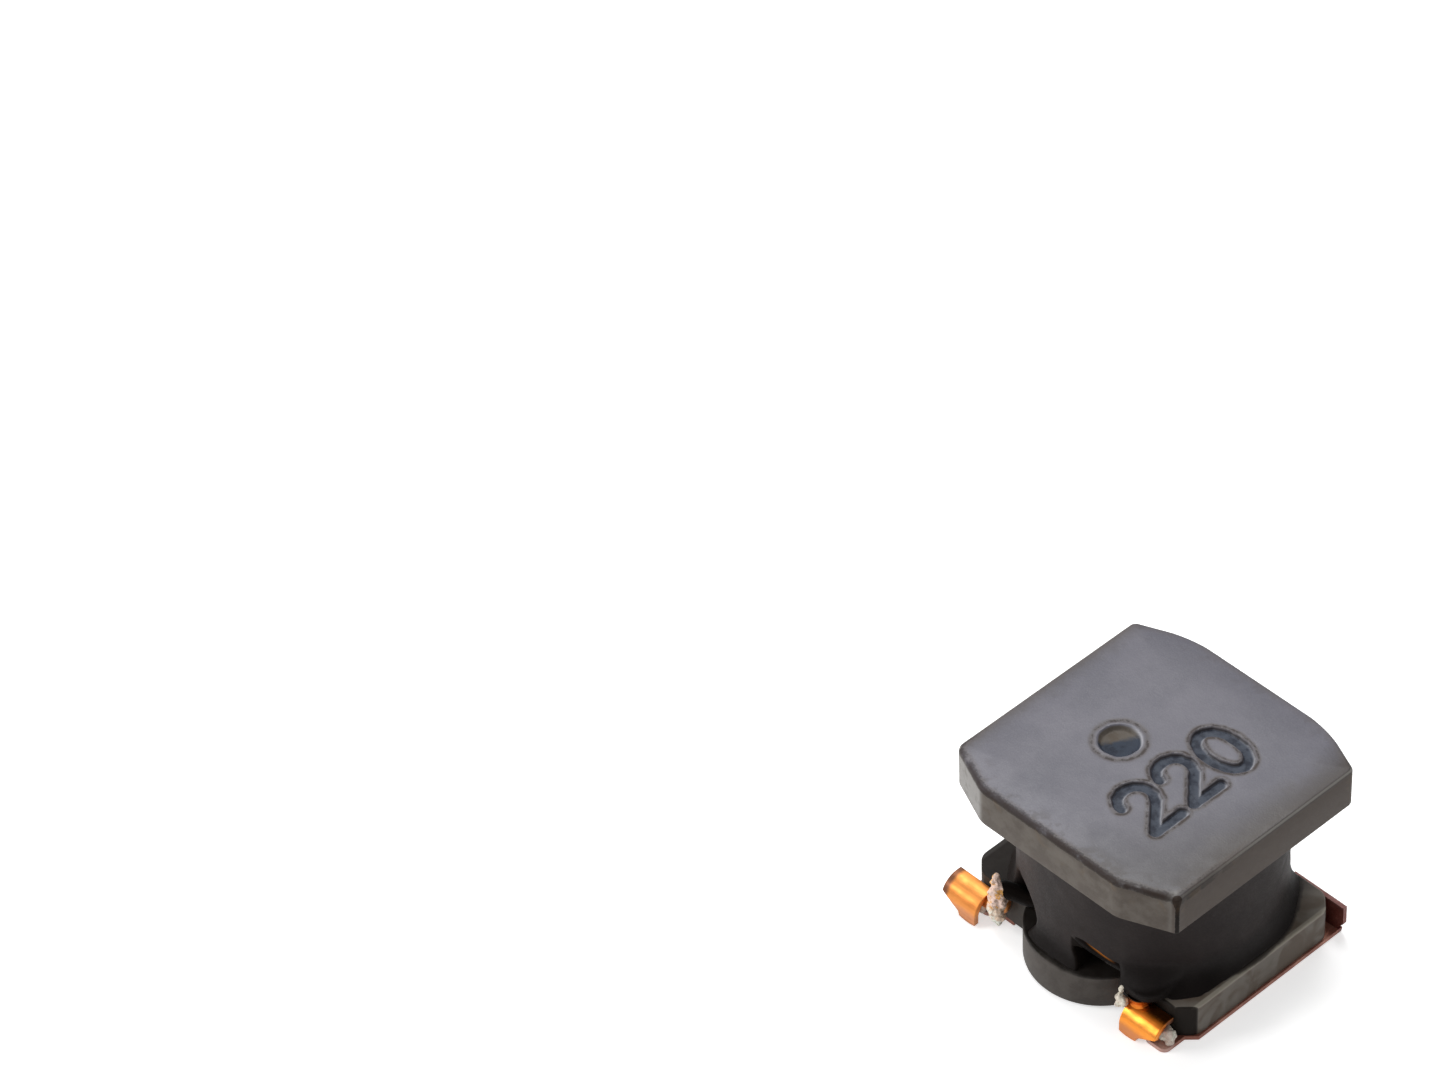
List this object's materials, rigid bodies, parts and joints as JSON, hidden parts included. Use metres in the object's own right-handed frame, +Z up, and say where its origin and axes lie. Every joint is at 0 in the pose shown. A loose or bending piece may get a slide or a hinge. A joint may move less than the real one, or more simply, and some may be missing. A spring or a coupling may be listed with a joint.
{
  "type": "shielded smd inductor",
  "caption": "Semi-shielded surface-mount power inductor: ferrite drum core, copper winding in magnetic resin, pressed wire ends soldered to flat terminals under the base.",
  "frame": {"origin": "middle of the footprint, on the board's surface under the terminal strips", "axes": "+X across the two terminals towards the right one, -Y towards the side where both wire ends leave, +Z up through the top face"},
  "size_m": [0.0063, 0.006, 0.0044],
  "materials": {
    "ferrite": "matte, fired and tumbled",
    "copper_wire": "enamelled copper, bare and satin at the pressed ends",
    "magnetic_resin": "matte, slightly grainy",
    "terminal_copper": "dull copper strip",
    "solder": "dull, crumbly",
    "flux": "dull crust"
  },
  "bodies": {
    "root": {"drum_core": "ferrite", "winding": "copper_wire", "shield_resin": "magnetic_resin", "terminal_right": "terminal_copper", "terminal_left": "terminal_copper", "solder_right": "solder", "solder_left": "solder", "flux_right": "flux", "flux_left": "flux"}
  },
  "joints": []
}
